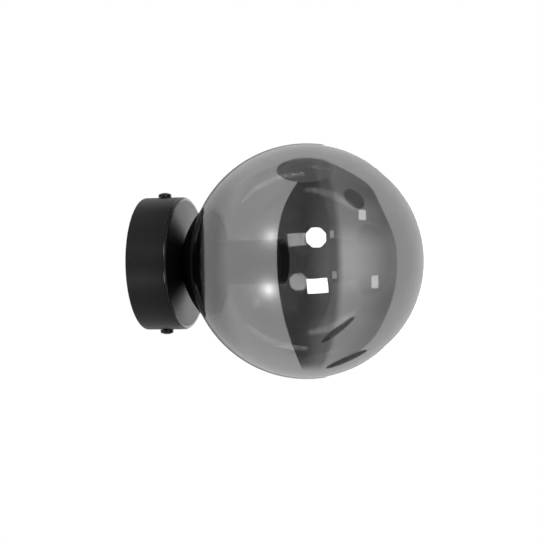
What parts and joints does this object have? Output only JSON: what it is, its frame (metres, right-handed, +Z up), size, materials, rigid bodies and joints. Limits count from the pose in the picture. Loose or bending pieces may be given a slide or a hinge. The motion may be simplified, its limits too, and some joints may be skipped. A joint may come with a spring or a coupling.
{
  "type": "globe wall sconce",
  "caption": "Wall sconce with a round black steel canopy, a black bowl holder, an E14 lampholder and a ball of smoked half-mirror glass.",
  "frame": {"origin": "centre of the canopy on the wall plane", "axes": "+X out of the wall along the lamp axis, +Z up, +Y to the left when facing the wall"},
  "size_m": [0.17, 0.14, 0.14],
  "materials": {
    "black_powder_coat": "fine satin powder coat",
    "black_ring": "matt black",
    "black_screw": "black oxide, glossy",
    "zinc_steel": "bright zinc plated",
    "smoked_glass": "smoked, half mirrored",
    "black_rubber": "silicone rubber",
    "black_plastic": "moulded satin black",
    "pale_ceramic": "unglazed white steatite",
    "brass": "bright pressed brass",
    "white_plastic": "natural polyamide",
    "tinned_copper": "tinned copper",
    "brown_lead": "brown sleeve",
    "blue_lead": "blue sleeve",
    "earth_lead": "green and yellow sleeve"
  },
  "bodies": {
    "base": {"wall_bracket": "zinc_steel", "canopy": "black_powder_coat", "threaded_tube": "zinc_steel", "lock_washer": "zinc_steel", "tube_nut": "zinc_steel", "tube_bush": "white_plastic", "holder_bowl": "black_powder_coat", "holder_ring": "black_ring", "lampholder_cap": "black_plastic", "lampholder_skirt": "black_plastic", "lampholder_core": "pale_ceramic", "screw_shell": "brass", "centre_contact": "brass", "side_contact": "brass", "terminal_block": "white_plastic", "block_inserts": "brass", "clamp_screws": "zinc_steel", "block_fixing_screws": "zinc_steel", "earth_terminal": "tinned_copper", "live_lead": "brown_lead", "neutral_lead": "blue_lead", "earth_lead": "earth_lead"},
    "gasket": {"glass_gasket": "black_rubber"},
    "globe": {"glass_globe": "smoked_glass", "glass_collar": "black_ring"},
    "upper_screw": {"side_screw_upper": "black_screw"},
    "lower_screw": {"side_screw_lower": "black_screw"}
  },
  "joints": [
    {"name": "globe_pull", "type": "slide", "parent": "base", "child": "gasket", "axis": [1, 0, 0], "range_m": [0, 0.12]},
    {"name": "globe_turn", "type": "hinge", "parent": "gasket", "child": "globe", "pos_m": [0.04, 0, 0], "axis": [1, 0, 0], "continuous": true},
    {"name": "upper_screw_turn", "type": "hinge", "parent": "base", "child": "upper_screw", "pos_m": [0.0115, 0, 0.04], "axis": [0, 0, 1], "continuous": true},
    {"name": "lower_screw_turn", "type": "hinge", "parent": "base", "child": "lower_screw", "pos_m": [0.0115, 0, -0.04], "axis": [0, 0, 1], "continuous": true}
  ]
}
